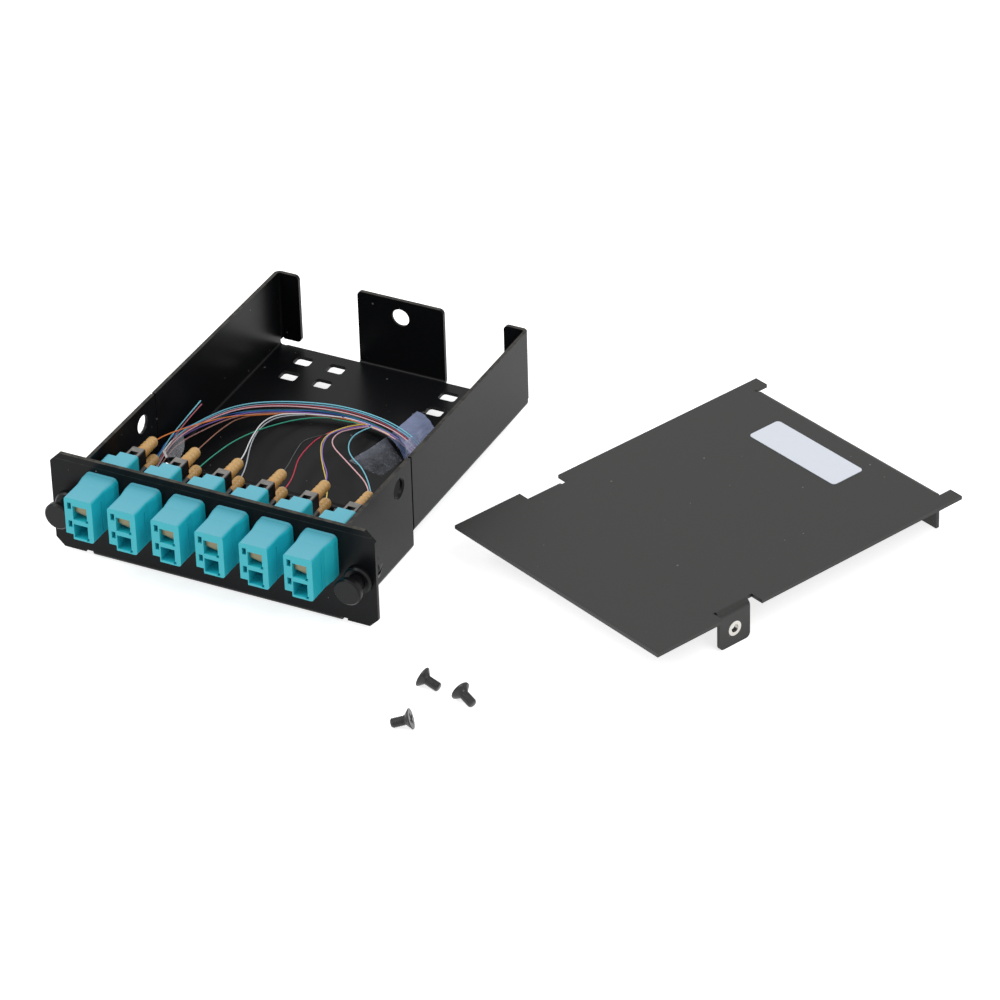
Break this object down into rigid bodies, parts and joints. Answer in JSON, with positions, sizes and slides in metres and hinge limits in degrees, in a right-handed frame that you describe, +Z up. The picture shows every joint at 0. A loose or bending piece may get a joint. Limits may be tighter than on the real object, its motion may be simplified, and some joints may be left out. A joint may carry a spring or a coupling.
{
  "type": "fibre adapter cassette",
  "caption": "Sheet metal fibre cassette with duplex adapters in its front plate, plugged pigtails laid in the open tray, push-pull plungers, and its cover and screws beside it.",
  "frame": {"origin": "middle of the front plate's width, in the plane of its front face, at the level of the surface that the tray stands on", "axes": "X along the front plate to the right seen from the front, Y from the plate's front face into the tray, Z up"},
  "size_m": [0.2421, 0.1945, 0.0342],
  "materials": {
    "tray_coat": "satin powder coat",
    "adapter_plastic": "satin",
    "leaf_metal": "dull, brownish",
    "connector_plastic": "satin",
    "boot_rubber": "translucent, satin",
    "ceramic": "polished ceramic",
    "clip_steel": "bright",
    "grommet_plastic": "satin",
    "plunger_plastic": "satin",
    "cover_coat": "fine textured powder coat",
    "insert_steel": "bright",
    "screw_black": "black oxide, satin",
    "label_film": "satin film",
    "jacket_blue": "satin",
    "jacket_orange": "satin",
    "jacket_green": "satin",
    "jacket_brown": "satin",
    "jacket_slate": "satin",
    "jacket_white": "satin",
    "jacket_red": "satin",
    "jacket_black": "satin",
    "jacket_yellow": "satin",
    "jacket_violet": "satin",
    "jacket_rose": "satin",
    "jacket_aqua": "satin",
    "jacket_mixed": "satin, twelve colours side by side",
    "clear_film": "clear, glossy"
  },
  "bodies": {
    "cassette": {"tray": "tray_coat", "adapter_1": "adapter_plastic", "adapter_2": "adapter_plastic", "adapter_3": "adapter_plastic", "adapter_4": "adapter_plastic", "adapter_5": "adapter_plastic", "adapter_6": "adapter_plastic", "connector_1_lower": "connector_plastic", "connector_1_upper": "connector_plastic", "connector_2_lower": "connector_plastic", "connector_2_upper": "connector_plastic", "connector_3_lower": "connector_plastic", "connector_3_upper": "connector_plastic", "connector_4_lower": "connector_plastic", "connector_4_upper": "connector_plastic", "connector_5_lower": "connector_plastic", "connector_5_upper": "connector_plastic", "connector_6_lower": "connector_plastic", "connector_6_upper": "connector_plastic", "boots_1": "boot_rubber", "boots_2": "boot_rubber", "boots_3": "boot_rubber", "boots_4": "boot_rubber", "boots_5": "boot_rubber", "boots_6": "boot_rubber", "alignment_sleeves": "ceramic", "ferrules": "ceramic", "adapter_clips": "clip_steel", "grommet_left": "grommet_plastic", "grommet_right": "grommet_plastic", "cover": "cover_coat", "cover_inserts": "insert_steel", "cover_screws": "screw_black", "label": "label_film", "fibre_blue": "jacket_blue", "fibre_orange": "jacket_orange", "fibre_green": "jacket_green", "fibre_brown": "jacket_brown", "fibre_slate": "jacket_slate", "fibre_white": "jacket_white", "fibre_red": "jacket_red", "fibre_black": "jacket_black", "fibre_yellow": "jacket_yellow", "fibre_violet": "jacket_violet", "fibre_rose": "jacket_rose", "fibre_aqua": "jacket_aqua", "fibre_bundle": "jacket_mixed", "loose_fibre_ends": "jacket_aqua", "wall_tape": "clear_film", "floor_tape": "clear_film", "clear_flag": "clear_film"},
    "plunger_left": {"plunger_left": "plunger_plastic"},
    "plunger_right": {"plunger_right": "plunger_plastic"},
    "shutter_1": {"shutter_1": "leaf_metal"},
    "shutter_2": {"shutter_2": "leaf_metal"},
    "shutter_3": {"shutter_3": "leaf_metal"},
    "shutter_4": {"shutter_4": "leaf_metal"},
    "shutter_5": {"shutter_5": "leaf_metal"},
    "shutter_6": {"shutter_6": "leaf_metal"}
  },
  "joints": [
    {"name": "plunger_left_push", "type": "slide", "parent": "cassette", "child": "plunger_left", "axis": [0, 1, 0], "range_m": [0, 0.0042]},
    {"name": "plunger_right_push", "type": "slide", "parent": "cassette", "child": "plunger_right", "axis": [0, 1, 0], "range_m": [0, 0.0042]},
    {"name": "shutter_1_swing", "type": "hinge", "parent": "cassette", "child": "shutter_1", "pos_m": [-0.03595, -0.013, 0.02695], "axis": [1, 0, 0], "range_deg": [0, 55], "stiffness_Nm_per_rad": 0.00002},
    {"name": "shutter_2_swing", "type": "hinge", "parent": "cassette", "child": "shutter_2", "pos_m": [-0.02139, -0.013, 0.02695], "axis": [1, 0, 0], "range_deg": [0, 55], "stiffness_Nm_per_rad": 0.00002},
    {"name": "shutter_3_swing", "type": "hinge", "parent": "cassette", "child": "shutter_3", "pos_m": [-0.00683, -0.013, 0.02695], "axis": [1, 0, 0], "range_deg": [0, 55], "stiffness_Nm_per_rad": 0.00002},
    {"name": "shutter_4_swing", "type": "hinge", "parent": "cassette", "child": "shutter_4", "pos_m": [0.00773, -0.013, 0.02695], "axis": [1, 0, 0], "range_deg": [0, 55], "stiffness_Nm_per_rad": 0.00002},
    {"name": "shutter_5_swing", "type": "hinge", "parent": "cassette", "child": "shutter_5", "pos_m": [0.02229, -0.013, 0.02695], "axis": [1, 0, 0], "range_deg": [0, 55], "stiffness_Nm_per_rad": 0.00002},
    {"name": "shutter_6_swing", "type": "hinge", "parent": "cassette", "child": "shutter_6", "pos_m": [0.03685, -0.013, 0.02695], "axis": [1, 0, 0], "range_deg": [0, 55], "stiffness_Nm_per_rad": 0.00002}
  ]
}
